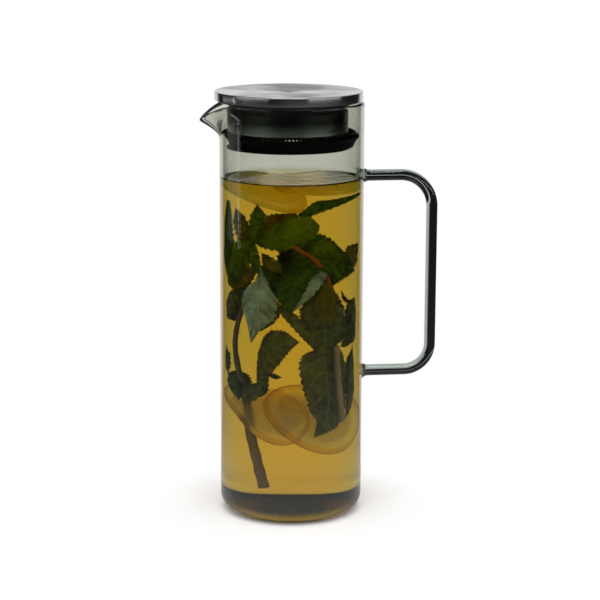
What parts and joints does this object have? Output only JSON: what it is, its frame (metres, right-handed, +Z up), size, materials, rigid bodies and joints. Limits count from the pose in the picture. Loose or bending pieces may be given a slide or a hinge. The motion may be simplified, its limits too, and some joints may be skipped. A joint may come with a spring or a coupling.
{
  "type": "iced tea maker",
  "caption": "Tall round glass jug with a drawn spout, a bent glass rod handle and a lift-off steel lid that carries a perforated strainer and a soft seal ring.",
  "frame": {"origin": "centre of the jug's flat underside, on its axis", "axes": "+Z up along the jug's axis, -X towards the spout, +X towards the handle"},
  "size_m": [0.1585, 0.0972, 0.2819],
  "materials": {
    "clear_glass": "polished",
    "lid_steel": "circular brushed",
    "strainer_steel": "perforated sheet, satin",
    "black_plastic": "satin",
    "bonding_foam": "matte",
    "black_silicone": "matte"
  },
  "bodies": {
    "jug": {"jug_glass": "clear_glass", "handle_glass": "clear_glass", "handle_weld_upper": "clear_glass", "handle_weld_lower": "clear_glass"},
    "seal": {"seal_ring": "black_silicone"},
    "lid": {"lid_cap": "lid_steel", "cap_bond_pad": "bonding_foam", "lid_body": "black_plastic", "strainer_sleeve": "strainer_steel", "seal_carrier": "black_plastic"}
  },
  "joints": [
    {"name": "lid_lift", "type": "slide", "parent": "jug", "child": "seal", "axis": [0, 0, 1], "range_m": [0, 0.1]},
    {"name": "lid_turn", "type": "hinge", "parent": "seal", "child": "lid", "pos_m": [-0.0021, 0, 0.25], "axis": [0, 0, 1], "continuous": true}
  ]
}
